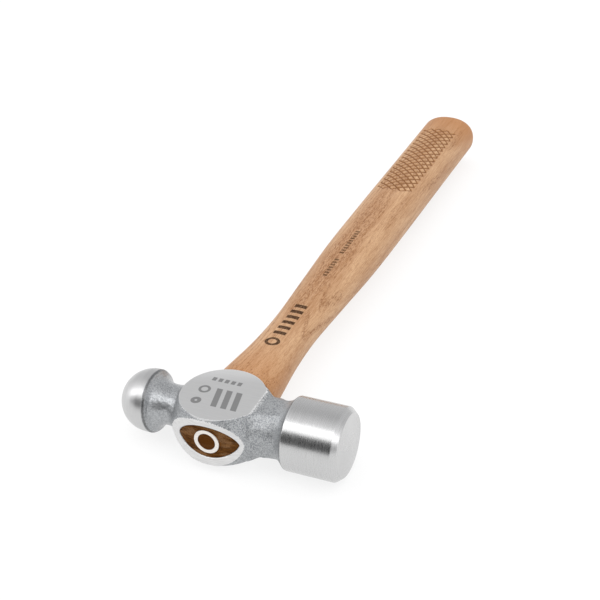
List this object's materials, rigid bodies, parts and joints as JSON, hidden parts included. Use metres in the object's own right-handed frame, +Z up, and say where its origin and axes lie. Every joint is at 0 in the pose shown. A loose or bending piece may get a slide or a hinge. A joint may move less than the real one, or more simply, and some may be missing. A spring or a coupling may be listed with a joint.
{
  "type": "ball peen hammer",
  "caption": "Ball peen hammer: forged steel head with a flat round face and a half-ball peen, on a wooden handle locked by a round steel wedge.",
  "frame": {"origin": "middle of the hammer's box in plan, on the surface it lies on", "axes": "+X towards the flat striking face, +Y from the head along the handle to the butt, +Z up out of the upper cheek"},
  "size_m": [0.106, 0.3484, 0.0322],
  "materials": {
    "forged_steel": "silver-grey painted forging with a polished poll and ball, a ground rim round the eye",
    "hickory": "clear lacquered hickory, cut checkering on the grip, bare dark end grain at the eye",
    "wedge_steel": "bright steel, ground flush with the end of the tenon"
  },
  "bodies": {
    "root": {"head": "forged_steel", "handle": "hickory", "ring_wedge": "wedge_steel"}
  },
  "joints": []
}
